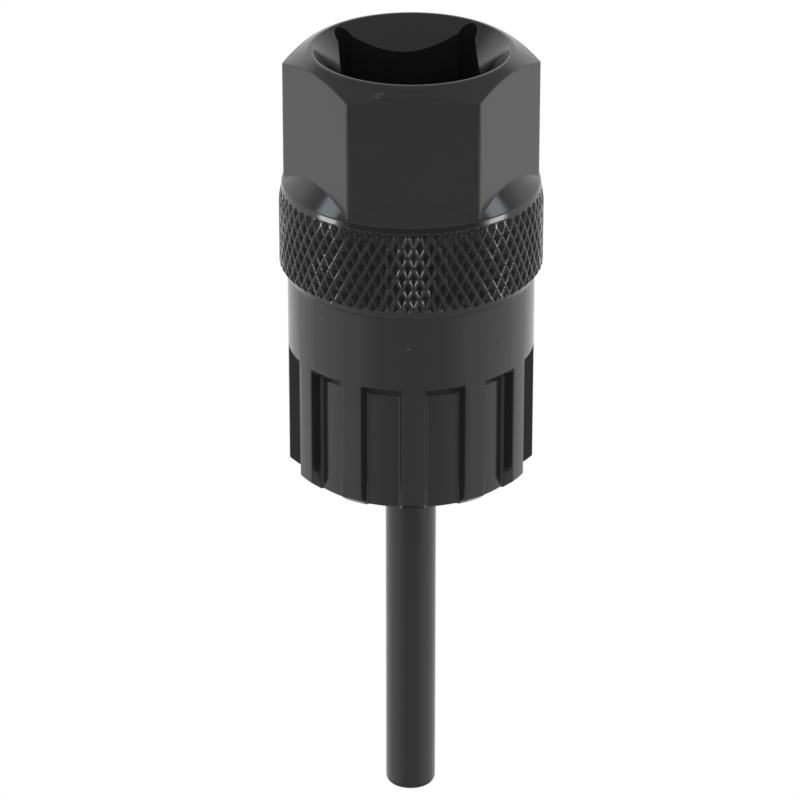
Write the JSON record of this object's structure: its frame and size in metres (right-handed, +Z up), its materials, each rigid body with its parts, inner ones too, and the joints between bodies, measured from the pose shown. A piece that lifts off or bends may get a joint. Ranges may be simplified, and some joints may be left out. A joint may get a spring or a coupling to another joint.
{
  "type": "cassette lockring tool",
  "caption": "Splined steel socket with a guide pin that turns the lockring of a bicycle cassette, driven by a hex head or a square drive.",
  "frame": {"origin": "on the tool's axis, in the plane of the rim on which it stands", "axes": "+Z up along the tool's axis towards the tip of the guide pin, -Z towards the square drive, -Y and +Y towards two flats of the hex head, +X and -X towards two of its corners"},
  "size_m": [0.025, 0.025, 0.0782],
  "materials": {
    "body_coating": "glossy black oxide coating over machined steel",
    "pin_coating": "satin black oxide coating on a drawn steel pin"
  },
  "bodies": {
    "root": {"tool_body": "body_coating", "guide_pin": "pin_coating"}
  },
  "joints": []
}
